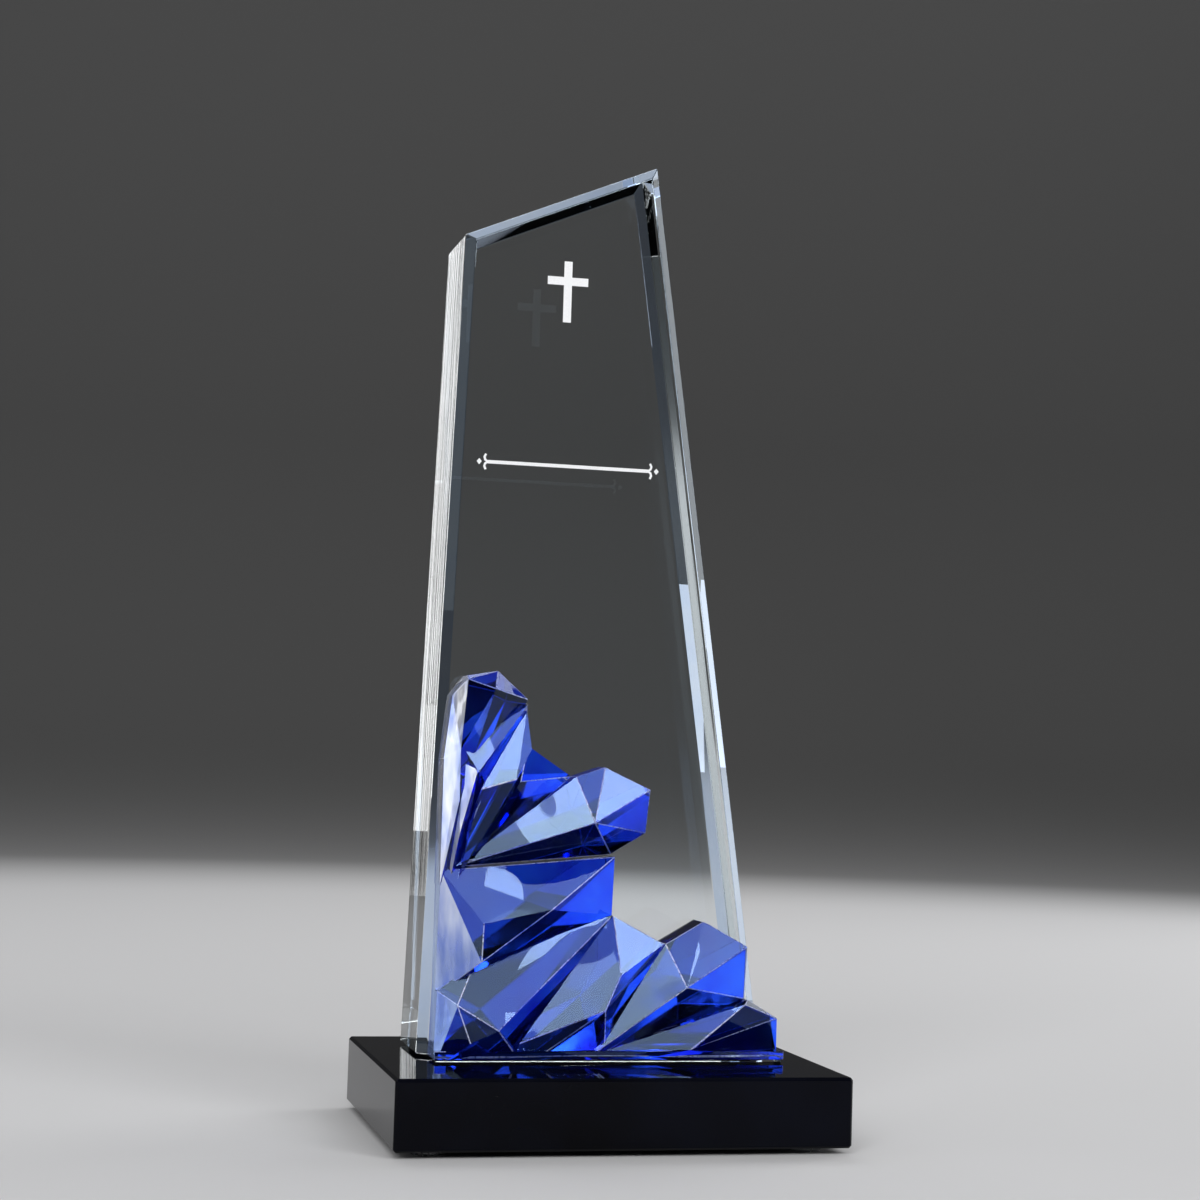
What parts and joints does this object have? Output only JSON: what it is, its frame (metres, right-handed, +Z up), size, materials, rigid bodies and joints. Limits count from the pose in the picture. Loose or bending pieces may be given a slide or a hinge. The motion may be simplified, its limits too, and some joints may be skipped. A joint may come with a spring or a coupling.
{
  "type": "crystal award",
  "caption": "Free-standing clear crystal tower with a slanted top and a blue faceted crystal cluster at its lower front, bonded on a black polished base.",
  "frame": {"origin": "centre of the base's outline, at the level of the feet's undersides", "axes": "+Z up along the tower, +X to the right seen from the front, +Y from the front to the back, so the cluster faces -Y"},
  "size_m": [0.122, 0.088, 0.27],
  "materials": {
    "black_crystal": "mirror-polished opaque black crystal",
    "clear_crystal": "mirror-polished water-clear crystal with bevelled edges",
    "blue_crystal": "polished crystal with sharp facets over a cobalt-blue mirror coat on its flat back",
    "clear_adhesive": "cured clear adhesive film",
    "clear_bumper": "satin clear polyurethane"
  },
  "bodies": {
    "root": {"base_block": "black_crystal", "tower": "clear_crystal", "blue_cluster": "blue_crystal", "bond_tower_base": "clear_adhesive", "bond_cluster_base": "clear_adhesive", "bond_cluster_tower": "clear_adhesive", "foot_front_left": "clear_bumper", "foot_front_right": "clear_bumper", "foot_rear_left": "clear_bumper", "foot_rear_right": "clear_bumper"}
  },
  "joints": []
}
